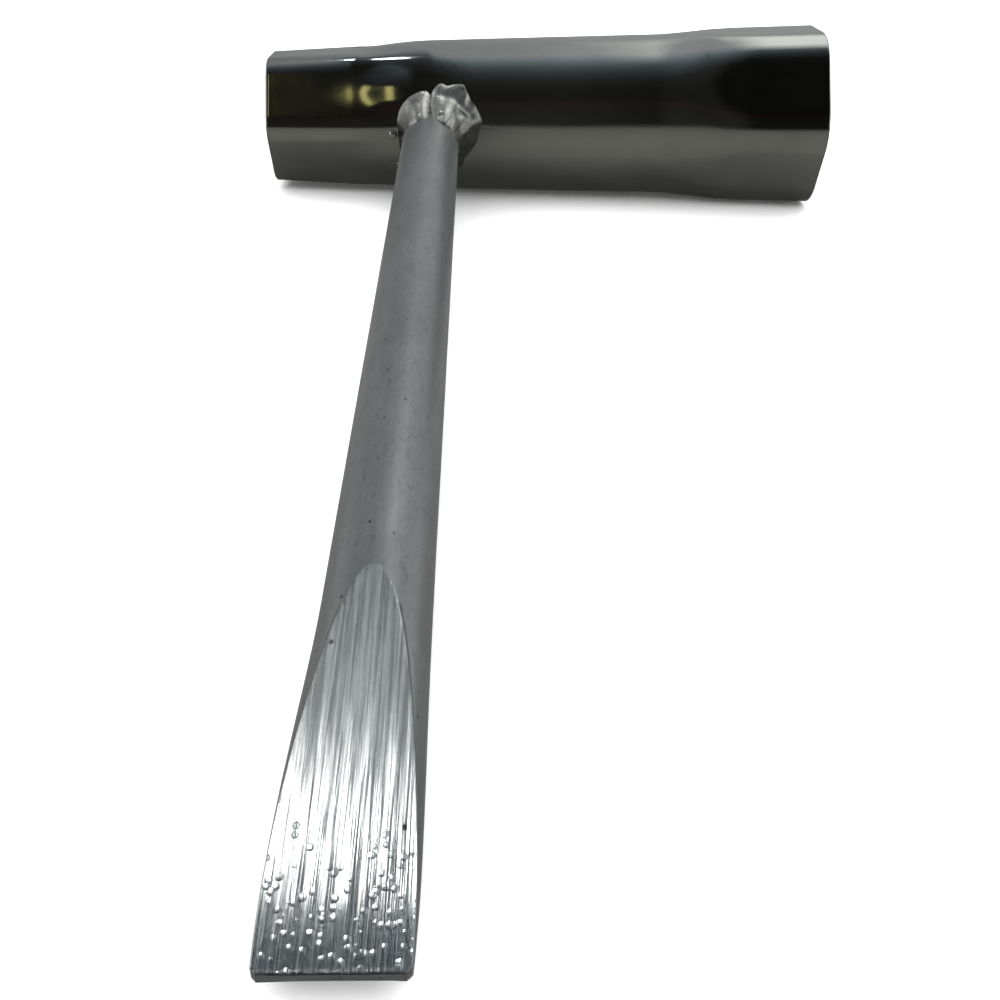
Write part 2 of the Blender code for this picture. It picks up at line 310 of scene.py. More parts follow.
BLADE_START = BLADE_LENGTH - SHANK_REACH
GRIND_SLOPE = (SHANK_RADIUS - BLADE_TIP_THICKNESS / 2) / BLADE_LENGTH
SHANK_START = -(BODY_SMALL_DIAMETER / 2 - SHANK_ROOT_IN_TUBE)
FLAT_POINTS = 110
SIDE_POINTS = 28
LEAST_FLAT_SWEEP = math.radians(28)
ROUND_STATIONS = 140
BLADE_STATIONS = 210
TIP_STEPS = 3
HOLLOW_RADIUS = 0.19
GRIND_GROOVES = (0.00042, 0.011, 0.01)
GRIND_DEPTH = 0.000014
DRAWN_WAVES = (0.0022, 0.012, 0.0022)
DRAWN_DEPTH = 0.00003


def blade_spread(y):
    """How far the bar is forged into the blade: 0 at its round part, 1 where it is widest."""
    share = (BLADE_START - y) / (BLADE_LENGTH - BLADE_WIDEST_FROM_TIP)
    return np.sin(np.clip(share, 0.0, 1.0) * QUARTER_TURN) ** 2


def blade_half_width(y):
    """Half the bar's width: its radius up to the blade, then spread, narrower again at the tip."""
    from_tip = y + SHANK_REACH
    narrowing = (BLADE_WIDTH - BLADE_TIP_WIDTH) / 2
    narrowing = narrowing * np.maximum(1 - from_tip / BLADE_WIDEST_FROM_TIP, 0.0) ** 2
    cut_corner = np.maximum(TIP_CORNER - from_tip, 0.0)
    spread = (BLADE_WIDTH / 2 - SHANK_RADIUS) * blade_spread(y)
    return SHANK_RADIUS + spread - narrowing - cut_corner


def ground_height(y):
    """Height of the ground face over the shank's axis. Before the blade it is above the bar."""
    return BLADE_TIP_THICKNESS / 2 + (y + SHANK_REACH) * GRIND_SLOPE


def shank_rings(y):
    """Rings round the shank, across its top, down its left, across its underside and back up.

    Also says which of their points lie on the ground faces.
    """
    y = y[:, None]
    half_width = blade_half_width(y)
    height = ground_height(y)
    ground_sweep = np.arccos(np.clip(height / SHANK_RADIUS, 0.0, 1.0))
    sweep = np.maximum(ground_sweep, LEAST_FLAT_SWEEP)
    across = np.linspace(1.0, -1.0, FLAT_POINTS)[None, :] * np.sin(sweep)
    side = sweep + (math.pi - 2 * sweep) * np.linspace(0.0, 1.0, SIDE_POINTS)[None, 1:-1]
    top_x = half_width * across
    from_edge = np.maximum(np.sin(ground_sweep) ** 2 - across**2, 0.0)
    hollow = from_edge * half_width**2 / (2 * HOLLOW_RADIUS)
    top_z = soft_min(SHANK_RADIUS * np.sqrt(1 - across**2), height - hollow, EDGE_SOFTNESS)
    left_x = -half_width * np.sin(side)
    left_z = SHANK_RADIUS * np.cos(side)
    x = np.concatenate([top_x, left_x, -top_x, -left_x], axis=1)
    z = np.concatenate([top_z, left_z, -top_z, -left_z], axis=1)
    x = x - BLADE_OFF_AXIS * blade_spread(y)
    points = np.stack([x, np.broadcast_to(y, x.shape), z], axis=-1)
    on_ground = np.zeros(x.shape, bool)
    on_ground[:, :FLAT_POINTS] = np.abs(across) < np.sin(ground_sweep)
    lower = FLAT_POINTS + SIDE_POINTS - 2
    on_ground[:, lower:lower + FLAT_POINTS] = on_ground[:, :FLAT_POINTS]
    return points, on_ground


def worn(points, on_ground):
    """Gives the rings their relief: grooves along the ground faces, slight waves on the bar."""
    grooves = GRIND_DEPTH * (grains(points, GRIND_GROOVES) - 1) / 2
    waves = DRAWN_DEPTH * (grains(points, DRAWN_WAVES) - 1) / 2
    lowered = np.where(on_ground, grooves, waves)
    from_axis = points * (1.0, 0.0, 1.0)
    from_axis = from_axis / np.linalg.norm(from_axis, axis=-1, keepdims=True)
    up_or_down = np.sign(points[..., 2:]) * (0.0, 0.0, 1.0)
    outwards = np.where(on_ground[..., None], up_or_down, from_axis)
    return points + (lowered - INSET)[..., None] * outwards


def tip_rings(last):
    """Rings that turn the sides round to the blade's end face."""
    turns = np.linspace(0.0, QUARTER_TURN, TIP_STEPS + 1)[1:, None, None]
    centre = last.mean(axis=0)
    reach = np.abs(last - centre).max(axis=0)
    drawn_in = 1 - TIP_ROUND * (1 - np.cos(turns)) / np.where(reach > 0, reach, 1.0)
    rings = centre + (last - centre) * drawn_in
    rings[..., 1] = -SHANK_REACH + INSET + TIP_ROUND * (1 - np.sin(turns[..., 0]))
    return rings


def make_shank(satin, ground):
    """The bar with its blade. The faces that lie on the ground faces get the ground finish."""
    round_part = np.linspace(SHANK_START, BLADE_START, ROUND_STATIONS)
    blade = np.linspace(BLADE_START, -SHANK_REACH + TIP_ROUND + INSET, BLADE_STATIONS)[1:]
    points, on_ground = shank_rings(np.concatenate([round_part, blade]))
    points = worn(points, on_ground)
    points = np.concatenate([points, tip_rings(points[-1])])
    shank = add_piece(
        "plated_shank", points, False, [satin, ground], ["screwdriver_shank"]
    )
    marks = np.concatenate([on_ground, np.repeat(on_ground[-1:], TIP_STEPS, axis=0)]).ravel()
    for face in shank.data.polygons:
        if len(face.vertices) == 4 and marks[list(face.vertices)].all():
            face.material_index = 1


# Weld: each lump is (angle round the shank, turn over the bead, spread of each, share of the bead's
# size), with the angles in degrees

WELD_STATIONS = 200
WELD_FACE_POINTS = 44
WELD_FLATNESS = 2.4
WELD_TURNS = (math.radians(-14), math.radians(104))
WELD_NOSE_START = 0.02
WELD_SINK = 0.0002
WELD_ROOT = 0.0006
WELD_GRAINS = (0.0016, 0.0016, 0.0016)
WELD_ROUGHNESS = 0.10
WELD_RIPPLES = 9
WELD_RIPPLE = 0.03
LEFT_LUMPS = [(113, 50, 20, 26, 0.36), (108, 8, 14, 14, 0.06), (186, 45, 44, 120, -0.68)]
RIGHT_LUMPS = [
    (58, 58, 24, 22, 0.36), (56, 10, 11, 13, 0.34), (81, 15, 8, 12, 0.14), (62, 34, 22, 9, -0.18),
    (28, 20, 16, 25, 0.14), (8, 45, 16, 28, 0.08), (-32, 45, 34, 120, -0.48),
]


def beside_shank(angle, distance, height):
    """Points off the tube: distance along its surface from the shank's side, then height off it."""
    x = (SHANK_RADIUS + distance) * np.cos(angle)
    body = BODY_SMALL_DIAMETER / 2
    turn = np.arcsin(SHANK_RADIUS * np.sin(angle) / body) + distance * np.sin(angle) / body
    surface = outer_radius(SHANK_FROM_SMALL_MOUTH + x, turn - SOCKET_CLOCKING)
    return np.stack([x, -surface * np.cos(turn) - height, surface * np.sin(turn)], axis=-1)


def bead_profile(turn):
    """Shares of the legs on the tube and on the shank at this turn over the bead's face."""
    shares = np.stack([np.cos(turn), np.sin(turn)])
    return np.sign(shares) * np.abs(shares) ** WELD_FLATNESS


def weld_run(name, start, end, leg, lumps, material, replaced):
    """One run from angle to angle: round-nosed, rippled and lumpy.

    Its toes are sunk in the tube and the shank, and its sections close through a root inside both.
    """
    angle = np.linspace(start, end, WELD_STATIONS)[:, None]
    turn = np.linspace(*WELD_TURNS, WELD_FACE_POINTS)[None, :]
    from_end = np.minimum(np.abs(angle - start), np.abs(end - angle)) / WELD_NOSE
    fullness = np.sqrt(1 - (1 - np.clip(from_end, WELD_NOSE_START, 1.0)) ** 2)
    along_run = (angle - start) / (end - start)
    swell = WELD_RIPPLE * np.abs(np.sin(along_run * math.pi * WELD_RIPPLES))
    for lump_angle, lump_turn, angle_spread, turn_spread, height in lumps:
        off_angle = (np.degrees(angle) - lump_angle) / angle_spread
        off_turn = (np.degrees(turn) - lump_turn) / turn_spread
        swell = swell + height * np.exp(-(off_angle**2) - off_turn**2)
    size = fullness * (1 + swell)
    on_tube, on_shank = bead_profile(turn)
    smooth = beside_shank(angle, leg * size * on_tube, WELD_LEG_ON_SHANK * size * on_shank)
    size = size * (1 + WELD_ROUGHNESS * grains(smooth, WELD_GRAINS))
    distance = leg * size * on_tube - WELD_SINK
    height = WELD_LEG_ON_SHANK * size * on_shank - WELD_SINK
    face = beside_shank(angle, distance, height)
    depth = np.full_like(angle, -WELD_ROOT)
    root = beside_shank(angle, depth, depth)
    points = np.concatenate([face, root], axis=1)
    add_piece(name, points, False, [material], [replaced])


def make_weld(material):
    """Two runs round the shank's foot that overlap at its top and its underside."""
    top = WELD_SEAM_ANGLE
    bottom = WELD_SEAM_ANGLE + math.pi
    weld_run(
        "bead_left",
        bottom + WELD_OVERLAP,
        top - WELD_OVERLAP,
        WELD_LEFT_LEG,
        LEFT_LUMPS,
        material,
        "weld_left",
    )
    weld_run(
        "bead_right",
        bottom - 2 * math.pi - WELD_OVERLAP,
        top + WELD_OVERLAP,
        WELD_RIGHT_LEG,
        RIGHT_LUMPS,
        material,
        "weld_right",
    )


# Spatter: drops of weld metal on the tube, each (place along the tube, turn up its front, radius)

SPATTER = [(-0.0054, 2, 0.00062), (-0.0049, -24, 0.00028)]
SPATTER_FINENESS = 4
SPATTER_SQUASH = 0.72
SPATTER_DENTS = 0.08


def make_spatter(material):
    """Dented drops of weld metal, flattened against the tube."""
    bm = bmesh.new()
    for along, turn, size in SPATTER:
        turn = math.radians(turn)
        surface = float(outer_radius(SHANK_FROM_SMALL_MOUTH + along, turn - SOCKET_CLOCKING))
        out = Vector((0.0, -math.cos(turn), math.sin(turn)))
        made = bmesh.ops.create_icosphere(bm, subdivisions=SPATTER_FINENESS, radius=size)
        for vert in made["verts"]:
            dent = 1 + SPATTER_DENTS * noise.noise(vert.co / size + Vector((along / MM, 0.0, 0.0)))
            flattened = vert.co * dent
            flattened -= out * flattened.dot(out) * (1 - SPATTER_SQUASH)
            vert.co = Vector((along, 0.0, 0.0)) + out * surface + flattened
    for face in bm.faces:
        face.smooth = True
    mesh = bpy.data.meshes.new("spatter")
    bm.to_mesh(mesh)
    bm.free()
    mesh.materials.append(material)
    place_piece("spatter", mesh)


# Materials: each finish has its colours, from its dark to its bright patches, the sizes of its
# grains along X, Y and Z, and the heights of its fine relief

METRES = (1.0, 1.0, 1.0)
# The values of a noise between which most of it lies
MOST_NOISE = (0.3, 0.7)

TUBE_PLATE = ((0.44, 0.45, 0.44, 1), (0.52, 0.53, 0.52, 1))
TUBE_SMUDGES = (0.011, 0.006, 0.006)
TUBE_SMUDGE_NOISE = (0.3, 0.75)
TUBE_ROUGHNESS = (0.05, 0.11)
TUBE_LINES = (0.03, 0.00035, 0.00035)
TUBE_LINE_HEIGHT = 0.0000016
TUBE_PEEL = (0.0009, 0.0007, 0.0007)
TUBE_PEEL_HEIGHT = 0.0000022
BORE_STEEL = ((0.15, 0.145, 0.13, 1), (0.26, 0.255, 0.24, 1))
BORE_DULLNESS = 0.32

BAR_METALLIC = 0.88
BAR_SHEEN = 0.05
BAR_SHEEN_ROUGHNESS = 0.35
BAR_PLATE = ((0.220, 0.232, 0.236, 1), (0.281, 0.296, 0.302, 1))
BAR_CLOUDS = (0.003, 0.009, 0.003)
BAR_ROUGHNESS = (0.36, 0.28)
BAR_LINES = (0.00022, 0.014, 0.00022)
BAR_LINE_NOISE = (0.55, 0.75)
BAR_LINE_SHARE = 0.45
BAR_LINE_COLOUR = (0.192, 0.203, 0.208, 1)
BAR_LINE_HEIGHT = 0.000002
BAR_SPECKS = (0.00034, 0.0010, 0.00034)
BAR_SPECK_NOISE = (0.54, 0.74)
BAR_SPECK_SHARE = 0.55
BAR_SPECK_COLOUR = (0.15, 0.158, 0.162, 1)
BAR_TOOTH = (0.00016, 0.00024, 0.00016)
BAR_TOOTH_HEIGHT = 0.0000035
BAR_PIT_CELLS = (0.0011, 0.0016, 0.0011)
BAR_PITTED_CELLS = 0.34
BAR_PIT_EDGE = (0.06, 0.15)
BAR_PIT_COLOUR = (0.05, 0.05, 0.05, 1)
BAR_PIT_DEPTH = 0.00003

BLADE_PLATE = ((0.37, 0.385, 0.395, 1), (0.76, 0.78, 0.79, 1))
BLADE_TONES = (0.00022, 0.012, 0.01)
BLADE_TONE_NOISE = (0.40, 0.60)
BLADE_TONE_ROUGHNESS = (0.06, 0.0)
BLADE_DULL_FROM_TIP = (0.003, 0.024)
BLADE_ROUGHNESS = (0.07, 0.22)
BLADE_WAVES = (0.0020, 0.0040, 0.01)
BLADE_WAVE_HEIGHT = 0.000014
BLADE_SCORES = (0.00075, 0.010, 0.01)
BLADE_SCORE_HEIGHT = 0.000017
BLADE_MARKS = (0.00010, 0.008, 0.01)
BLADE_MARK_HEIGHT = 0.0000052
BLADE_PIT_CELLS = (0.0012, 0.0017, 0.0012)
BLADE_PITTED_CELLS = 0.30
BLADE_PIT_EDGE = (0.07, 0.16)
BLADE_PIT_COLOUR = (0.06, 0.06, 0.06, 1)
DROP_CELLS = (0.00060, 0.00066, 0.01)
DROP_RADIUS_IN_CELLS = 0.40
DROPS_FROM_TIP = (0.010, 0.004)
DROP_SHARES = (0.02, 0.80)
DROP_HEIGHT = 0.000008
DROP_ROUGHNESS = 0.05

WELD_METALLIC = 0.97
WELD_PLATE = ((0.42, 0.42, 0.41, 1), (0.60, 0.60, 0.575, 1))
WELD_PATCHES = (0.0014, 0.0014, 0.0014)
WELD_SHINE = (0.30, 0.19)
WELD_WRINKLES = (0.00035, 0.00035, 0.00035)
WELD_WRINKLE_HEIGHT = 0.000012
# Painted shade on the weld: its colour darkens towards this grey below these heights, in place of
# shade on its lower side
WELD_PAINTED_SHADE_HEIGHTS = (0.0052, 0.0018)
WELD_PAINTED_SHADE_SHARE = 0.85
WELD_PAINTED_SHADE_COLOUR = (0.14, 0.14, 0.13, 1)


class Graph:
    """Adds nodes to a tree. A value given for a socket is a constant or another node's output."""

    def __init__(self, tree):
        self.tree = tree

    def node(self, kind, values=None, **settings):
        made = self.tree.nodes.new(kind)
        for name, value in settings.items():
            setattr(made, name, value)
        for socket, value in (values or {}).items():
            if isinstance(value, bpy.types.NodeSocket):
                self.tree.links.new(value, made.inputs[socket])
            else:
                made.inputs[socket].default_value = value
        return made

    def place(self, size):
        """The place in the tool's frame, counted in grains of this size along X, Y and Z."""
        values = {
            "Vector": self.node("ShaderNodeTexCoord").outputs["Object"],
            "Location": TOOL.to_translation(),
            "Rotation": TOOL.to_euler(),
            "Scale": size,
        }
        return self.node("ShaderNodeMapping", values, vector_type="TEXTURE").outputs["Vector"]

    def along(self, axis):
        """The place along one axis of the tool's frame."""
        return self.node("ShaderNodeSeparateXYZ", {0: self.place(METRES)}).outputs[axis]

    def grain(self, size, detail=2.0, roughness=0.5):
        values = {
            "Vector": self.place(size),
            "Scale": 1.0,
            "Detail": detail,
            "Roughness": roughness,
        }
        return self.node("ShaderNodeTexNoise", values).outputs["Fac"]

    def cells(self, size):
        """Scattered cells: a colour for each, and the distance from its middle."""
        values = {"Vector": self.place(size), "Scale": 1.0}
        return self.node("ShaderNodeTexVoronoi", values).outputs

    def pits(self, size, share, edge):
        """1 in the pits that lie in this share of the cells, falling to 0 over their edge."""
        cells = self.cells(size)
        pitted = self.math("LESS_THAN", cells["Color"], share)
        return self.math("MULTIPLY", pitted, self.ranged(cells["Distance"], *edge, 1.0, 0.0))

    def ranged(self, value, low, high, to_low, to_high):
        values = {
            "Value": value,
            "From Min": low,
            "From Max": high,
            "To Min": to_low,
            "To Max": to_high,
        }
        return self.node("ShaderNodeMapRange", values).outputs["Result"]

    def math(self, operation, *values):
        return self.node("ShaderNodeMath", dict(enumerate(values)), operation=operation).outputs[0]

    def vector_math(self, operation, values):
        return self.node("ShaderNodeVectorMath", values, operation=operation).outputs["Vector"]

    def mixed(self, share, first, second):
        values = {0: share, 6: first, 7: second}
        return self.node("ShaderNodeMix", values, data_type="RGBA").outputs[2]

    def patchy(self, noise_value, colours, between=MOST_NOISE):
        """The first colour where the noise is low, the second where it is high."""
        return self.mixed(self.ranged(noise_value, *between, 0.0, 1.0), *colours)

    def bump(self, height, distance, under=None):
        values = {"Height": height, "Distance": distance}
        if under:
            values["Normal"] = under
        return self.node("ShaderNodeBump", values).outputs["Normal"]


def metal(name, metallic=1.0):
    """A new metal, its graph and its shader."""
    material = bpy.data.materials.new(name)
    material.use_nodes = True
    shader = material.node_tree.nodes["Principled BSDF"]
    shader.inputs["Metallic"].default_value = metallic
    return material, Graph(material.node_tree), shader


def finish_metal(graph, shader, colour, roughness, normal):
    graph.tree.links.new(colour, shader.inputs["Base Color"])
    graph.tree.links.new(roughness, shader.inputs["Roughness"])
    graph.tree.links.new(normal, shader.inputs["Normal"])


def plated_tube_steel():
    """Bright plate with soft smudges and lines along the tube; dull bare steel in the bore."""
    material, graph, shader = metal("plated_tube_steel")
    smudge = graph.grain(TUBE_SMUDGES, detail=4.0, roughness=0.6)
    drawn = graph.grain(TUBE_LINES, detail=3.0)
    peel = graph.grain(TUBE_PEEL)
    bore = graph.node("ShaderNodeAttribute", attribute_name="bore").outputs["Fac"]
    bright = graph.patchy(smudge, TUBE_PLATE)
    colour = graph.mixed(bore, bright, graph.patchy(peel, BORE_STEEL))
    sheen = graph.ranged(smudge, *TUBE_SMUDGE_NOISE, *TUBE_ROUGHNESS)
    roughness = graph.math("ADD", sheen, graph.math("MULTIPLY", bore, BORE_DULLNESS))
    normal = graph.bump(drawn, TUBE_LINE_HEIGHT)
    normal = graph.bump(peel, TUBE_PEEL_HEIGHT, normal)
    finish_metal(graph, shader, colour, roughness, normal)
    return material


def satin_bar_steel():
    """Satin zinc on drawn bar: cloudy, with lines along it, dark specks and small dark pits."""
    material, graph, shader = metal("satin_bar_steel", BAR_METALLIC)
    shader.inputs["Sheen Weight"].default_value = BAR_SHEEN
    shader.inputs["Sheen Roughness"].default_value = BAR_SHEEN_ROUGHNESS
    cloud = graph.grain(BAR_CLOUDS, detail=5.0, roughness=0.62)
    drawn = graph.grain(BAR_LINES, detail=3.0)
    tooth = graph.grain(BAR_TOOTH)
    speck = graph.grain(BAR_SPECKS)
    pit = graph.pits(BAR_PIT_CELLS, BAR_PITTED_CELLS, BAR_PIT_EDGE)
    lines = graph.ranged(drawn, *BAR_LINE_NOISE, 0.0, BAR_LINE_SHARE)
    specks = graph.ranged(speck, *BAR_SPECK_NOISE, 0.0, BAR_SPECK_SHARE)
    plate = graph.patchy(cloud, BAR_PLATE)
    plate = graph.mixed(lines, plate, BAR_LINE_COLOUR)
    plate = graph.mixed(specks, plate, BAR_SPECK_COLOUR)
    colour = graph.mixed(pit, plate, BAR_PIT_COLOUR)
    roughness = graph.ranged(cloud, *MOST_NOISE, *BAR_ROUGHNESS)
    normal = graph.bump(drawn, BAR_LINE_HEIGHT)
    normal = graph.bump(tooth, BAR_TOOTH_HEIGHT, normal)
    normal = graph.bump(graph.math("SUBTRACT", 1.0, pit), BAR_PIT_DEPTH, normal)
    finish_metal(graph, shader, colour, roughness, normal)
    return material


def plate_drops(graph, along):
    """Round drops of plate on the blade's face, 1 at their tops, that thicken towards the tip."""
    near_tip = graph.ranged(along, *(d - SHANK_REACH for d in DROPS_FROM_TIP), 0.0, 1.0)
    cells = graph.cells(DROP_CELLS)
    share = graph.ranged(near_tip, 0.0, 1.0, *DROP_SHARES)
    chosen = graph.math("LESS_THAN", cells["Color"], share)
    off_middle = graph.math("DIVIDE", cells["Distance"], DROP_RADIUS_IN_CELLS)
    dome = graph.math("SUBTRACT", 1.0, graph.math("MULTIPLY", off_middle, off_middle))
    return graph.math("MULTIPLY", chosen, graph.math("MAXIMUM", dome, 0.0))


def ground_blade_steel():
    """Plated grinding marks along the blade, with pits, and with drops of plate near the tip."""
    material, graph, shader = metal("ground_blade_steel")
    tone = graph.grain(BLADE_TONES, detail=3.0)
    marks = graph.grain(BLADE_MARKS, detail=1.0)
    scores = graph.grain(BLADE_SCORES)
    waves = graph.grain(BLADE_WAVES, detail=1.0)
    pit = graph.pits(BLADE_PIT_CELLS, BLADE_PITTED_CELLS, BLADE_PIT_EDGE)
    along = graph.along("Y")
    drop = plate_drops(graph, along)
    plate = graph.patchy(tone, BLADE_PLATE, BLADE_TONE_NOISE)
    colour = graph.mixed(pit, plate, BLADE_PIT_COLOUR)
    duller = graph.ranged(along, *(d - SHANK_REACH for d in BLADE_DULL_FROM_TIP), *BLADE_ROUGHNESS)
    toned = graph.ranged(tone, *MOST_NOISE, *BLADE_TONE_ROUGHNESS)
    roughness = graph.math("ADD", toned, duller)
    roughness = graph.math("ADD", roughness, graph.math("MULTIPLY", drop, DROP_ROUGHNESS))
    normal = graph.bump(waves, BLADE_WAVE_HEIGHT)
    normal = graph.bump(scores, BLADE_SCORE_HEIGHT, normal)
    normal = graph.bump(marks, BLADE_MARK_HEIGHT, normal)
    normal = graph.bump(drop, DROP_HEIGHT, normal)
    finish_metal(graph, shader, colour, roughness, normal)
    return material


def weld_steel(name, painted_shade_low):
    """Plated weld metal: finely wrinkled and patchy, with painted shade that darkens it lower down
    when asked for.
    """
    material, graph, shader = metal(name, WELD_METALLIC)
    patch = graph.grain(WELD_PATCHES, detail=4.0, roughness=0.6)
    wrinkle = graph.grain(WELD_WRINKLES, detail=3.0)
    colour = graph.patchy(patch, WELD_PLATE)
    if painted_shade_low:
        # Painted shade: the weld's colour gets darker towards its bottom
        painted_shade = graph.ranged(graph.along("Z"), *WELD_PAINTED_SHADE_HEIGHTS, 0.0, WELD_PAINTED_SHADE_SHARE)
        colour = graph.mixed(painted_shade, colour, WELD_PAINTED_SHADE_COLOUR)
    roughness = graph.ranged(patch, *MOST_NOISE, *WELD_SHINE)
    normal = graph.bump(wrinkle, WELD_WRINKLE_HEIGHT)
    finish_metal(graph, shader, colour, roughness, normal)
    return material


# Stage: a pale floor that sweeps up all round, a painted reflection of it for the metal, soft light
# and the camera

SWEEP_START = 1.5
SWEEP_RADIUS = 1.0
SWEEP_HEIGHT = 2.6
SWEEP_STEPS = 24
SWEEP_SIDES = 96
FLOOR_INNER_RINGS = (0.3, 0.02)
FLOOR_COLOURS = ((0.80, 0.80, 0.80, 1), (0.84, 0.84, 0.84, 1))
FLOOR_GRAIN = (0.03, 0.03, 0.03)
FLOOR_ROUGHNESS = 0.9
# A floor copy that only the metal shows, as a painted reflection: painted shade near the tube, grey
# further out, dimming far away, and a faint painted glow
MIRRORED_FLOOR_PAINTED_SHADE_COLOUR = (0.078, 0.078, 0.070, 1)
MIRRORED_FLOOR_MIDDLE = (0.150, 0.150, 0.134, 1)
MIRRORED_FLOOR_FAR = (0.020, 0.020, 0.019, 1)
MIRRORED_FLOOR_PAINTED_GLOW = 0.022
MIRRORED_FLOOR_PAINTED_SHADE_SPAN = (-0.0085, -0.018)
MIRRORED_FLOOR_FADE = (-0.02, -0.25)
MIRRORED_FLOOR_DROP = 0.0004
MIRRORED_FLOOR_PAINTED_GLOW_TINT = (1.0, 1.0, 0.90)


def matt(name):
    """A new matt material, its graph and its shader."""
    material = bpy.data.materials.new(name)
    material.use_nodes = True
    shader = material.node_tree.nodes["Principled BSDF"]
    shader.inputs["Roughness"].default_value = FLOOR_ROUGHNESS
    shader.inputs["Specular IOR Level"].default_value = 0.0
    return material, Graph(material.node_tree), shader


def pale_floor():
    material, graph, shader = matt("pale_floor")
    colour = graph.mixed(graph.grain(FLOOR_GRAIN, detail=3.0), *FLOOR_COLOURS)
    graph.tree.links.new(colour, shader.inputs["Base Color"])
    return material


def painted_floor_reflection():
    """The floor as the plate shows it, a painted reflection: grey, with painted shade under the
    tube, fading with the distance, and a faint painted glow.
    """
    material, graph, shader = matt("painted_floor_reflection")
    along = graph.along("Y")
    # Painted shade under the tube, then dimming with the distance
    out = graph.ranged(along, *MIRRORED_FLOOR_PAINTED_SHADE_SPAN, 0.0, 1.0)
    away = graph.ranged(along, *MIRRORED_FLOOR_FADE, 0.0, 1.0)
    colour = graph.mixed(out, MIRRORED_FLOOR_PAINTED_SHADE_COLOUR, MIRRORED_FLOOR_MIDDLE)
    colour = graph.mixed(away, colour, MIRRORED_FLOOR_FAR)
    graph.tree.links.new(colour, shader.inputs["Base Color"])
    # Painted glow: the floor copy gives off faint light of its own
    shader.inputs["Emission Color"].default_value = (*MIRRORED_FLOOR_PAINTED_GLOW_TINT, 1)
    shader.inputs["Emission Strength"].default_value = MIRRORED_FLOOR_PAINTED_GLOW
    return material


def sweep_rings():
    """Rings of the floor, from the top of its rising edge in to the middle."""
    turns = np.linspace(QUARTER_TURN, 0.0, SWEEP_STEPS)
    curve = SWEEP_START + SWEEP_RADIUS * np.sin(turns)
    reach = [SWEEP_START + SWEEP_RADIUS, *curve, *FLOOR_INNER_RINGS]
    height = [SWEEP_HEIGHT, *(SWEEP_RADIUS * (1 - np.cos(turns))), 0.0, 0.0]
    angles = np.linspace(0.0, 2 * math.pi, SWEEP_SIDES, endpoint=False)
    return np.array(
        [[(r * math.cos(a), r * math.sin(a), h) for a in angles] for r, h in zip(reach, height)]
    )


def add_floor(name, rings, material):
    faces = grid_faces(len(rings), SWEEP_SIDES, False).tolist()
    faces.append([(len(rings) - 1) * SWEEP_SIDES + i for i in range(SWEEP_SIDES)])
    mesh = bpy.data.meshes.new(name)
    mesh.from_pydata(rings.reshape(-1, 3).tolist(), [], faces)
    mesh.shade_smooth()
    mesh.materials.append(material)
    floor = bpy.data.objects.new(name, mesh)
    bpy.context.scene.collection.objects.link(floor)
    return floor


def make_floors():
    """The floor that is seen, and the one that shows in the metal just under it: a painted
    reflection of the floor.
    """
    rings = sweep_rings()
    floor = add_floor("floor", rings, pale_floor())
    floor.visible_glossy = False
    floor.visible_shadow = False
    flat = rings[rings[:, 0, 2] == 0.0] - (0.0, 0.0, MIRRORED_FLOOR_DROP)
    painted_reflection = add_floor("floor_with_painted_reflection", flat, painted_floor_reflection())
    painted_reflection.visible_camera = False
    painted_reflection.visible_diffuse = False
    painted_reflection.visible_shadow = False


# The room that the metal mirrors, as (degrees from the horizon behind the tool, over its top, to
# the horizon before it; brightness; tint)

PLAIN = (0.97, 1.0, 1.0)
COOL = (0.86, 1.0, 1.08)
WARM = (1.0, 1.0, 0.80)
ROSE = (1.5, 0.95, 0.88)
ROOM = [
    (0, 0.20, PLAIN), (3, 0.30, PLAIN), (9, 0.31, PLAIN), (25, 0.36, PLAIN), (45, 0.38, PLAIN),
    (60, 0.40, PLAIN), (70, 0.41, PLAIN), (76, 0.34, COOL), (82, 0.25, COOL), (88, 0.17, COOL),
    (93, 0.12, COOL), (98, 0.088, COOL), (103, 0.063, COOL), (115, 0.030, PLAIN),
    (128, 0.018, WARM), (143, 0.016, WARM), (152, 0.021, ROSE), (163, 0.024, WARM),
    (172, 0.026, WARM), (180, 0.028, WARM),
]
# How the room brightens from left to right: between these sideways parts of a direction, by these
BRIGHTENING = ((-0.20, 0.05), (0.75, 1.20))
# A dim stretch to the left, from edge to soft edge, where the room is as it is DIM_TURN further on.
# That fades out over DIM_TURNS
DIM_LEFT = (-0.225, -0.185)
DIM_RIGHT = (-0.105, -0.080)
DIM_TURN = math.radians(28)
DIM_TURNS = (math.radians(105), math.radians(135))
# Where the room before the tool darkens to the right, and by how much
DARK_SIDE = (0.0, 0.12)
DARK_TURNS = (math.radians(80), math.radians(115))
DARKENING = 0.7
# Bright things in the room: a lamp, a window, a yellow glow and a pale panel at each side, each as
# (sideways from and to, degrees from and to, soft edges of both, brightness, tint)
PATCHES = [
    ((-0.200, -0.164), (65.2, 68.6), (0.004, 1.0), 15.0, (1.0, 0.99, 0.96)),
    ((0.160, 0.400), (45.0, 74.0), (0.130, 16.0), 0.8, (1.0, 0.98, 0.90)),
    ((-0.335, -0.309), (121.0, 140.0), (0.006, 4.0), 0.9, (1.0, 0.90, 0.34)),
    ((-1.05, -0.80), (-5.0, 185.0), (0.200, 1.0), 0.7, (1.0, 1.0, 1.0)),
    ((0.80, 1.05), (-5.0, 185.0), (0.200, 1.0), 0.7, (1.0, 1.0, 1.0)),
]


